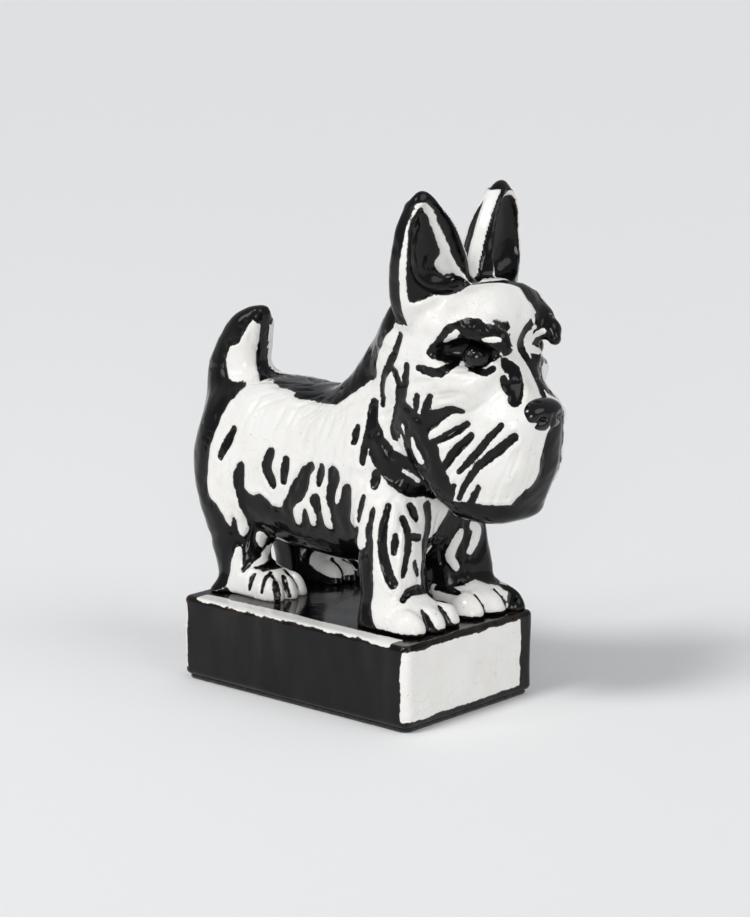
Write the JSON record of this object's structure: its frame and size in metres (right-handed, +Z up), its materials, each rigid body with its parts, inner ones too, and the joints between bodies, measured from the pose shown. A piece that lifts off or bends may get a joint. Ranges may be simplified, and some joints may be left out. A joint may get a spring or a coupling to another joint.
{
  "type": "ceramic dog figurine",
  "caption": "Standing wire-haired terrier in white glazed ceramic with black painted fur lines, on a rectangular plinth with a felt base.",
  "frame": {"origin": "centre of the felt's underside, on which the figurine rests", "axes": "+Z up, +X the way the dog looks, +Y towards the dog's left"},
  "size_m": [0.1254, 0.054, 0.144],
  "materials": {
    "white_glaze": "gloss white glaze over white earthenware",
    "black_glaze": "gloss black glaze",
    "plinth_glaze": "gloss black glaze with white reserved panels",
    "felt": "black wool felt"
  },
  "bodies": {
    "root": {"plinth_shell": "plinth_glaze", "felt_pad": "felt", "torso_shell": "white_glaze", "head_shell": "white_glaze", "ear_left": "white_glaze", "ear_right": "white_glaze", "brow_left": "white_glaze", "brow_right": "white_glaze", "eye_left": "black_glaze", "eye_right": "black_glaze", "nose": "black_glaze", "tail": "white_glaze", "foreleg_left": "white_glaze", "foreleg_right": "white_glaze", "hindleg_left": "white_glaze", "hindleg_right": "white_glaze"}
  },
  "joints": []
}
